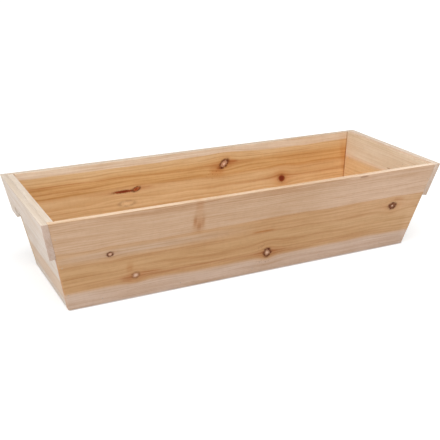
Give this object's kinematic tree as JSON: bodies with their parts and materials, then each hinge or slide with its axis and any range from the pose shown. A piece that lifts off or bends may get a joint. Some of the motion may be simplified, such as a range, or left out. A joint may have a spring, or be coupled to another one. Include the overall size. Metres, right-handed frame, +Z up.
{
  "type": "window box planter",
  "caption": "Long open wooden planter with four outward-leaning walls, a drained floor and a handle cleat across each end with a finger grip.",
  "frame": {"origin": "middle of the base rectangle, on the ground", "axes": "+X along the length, -Y out of the front, +Z up"},
  "size_m": [0.7618, 0.282, 0.168],
  "materials": {
    "front_wood": "planed bare softwood, pale upper half and orange heartwood below, with knots",
    "back_wood": "planed bare softwood, golden orange with brown streaks and knots",
    "end_wood": "planed bare softwood, pale with orange lower part",
    "floor_wood": "planed bare softwood, plain",
    "cleat_wood": "planed bare softwood, whitish, with brown end grain",
    "brad_steel": "plain zinc-coated wire brads, set just below the face"
  },
  "bodies": {
    "root": {"front_panel": "front_wood", "back_panel": "back_wood", "left_end_panel": "end_wood", "right_end_panel": "end_wood", "floor_board": "floor_wood", "left_handle_cleat": "cleat_wood", "right_handle_cleat": "cleat_wood", "front_corner_brad_a1": "brad_steel", "front_corner_brad_a2": "brad_steel", "front_corner_brad_a3": "brad_steel", "front_corner_brad_b1": "brad_steel", "front_corner_brad_b2": "brad_steel", "front_corner_brad_b3": "brad_steel", "front_floor_brad_1": "brad_steel", "front_floor_brad_2": "brad_steel", "front_floor_brad_3": "brad_steel", "front_floor_brad_4": "brad_steel", "front_floor_brad_5": "brad_steel", "back_corner_brad_a1": "brad_steel", "back_corner_brad_a2": "brad_steel", "back_corner_brad_a3": "brad_steel", "back_corner_brad_b1": "brad_steel", "back_corner_brad_b2": "brad_steel", "back_corner_brad_b3": "brad_steel", "back_floor_brad_1": "brad_steel", "back_floor_brad_2": "brad_steel", "back_floor_brad_3": "brad_steel", "back_floor_brad_4": "brad_steel", "back_floor_brad_5": "brad_steel", "left_cleat_brad_1": "brad_steel", "left_cleat_brad_2": "brad_steel", "left_cleat_brad_3": "brad_steel", "left_cleat_brad_4": "brad_steel", "left_floor_brad_1": "brad_steel", "left_floor_brad_2": "brad_steel", "right_cleat_brad_1": "brad_steel", "right_cleat_brad_2": "brad_steel", "right_cleat_brad_3": "brad_steel", "right_cleat_brad_4": "brad_steel", "right_floor_brad_1": "brad_steel", "right_floor_brad_2": "brad_steel"}
  },
  "joints": []
}
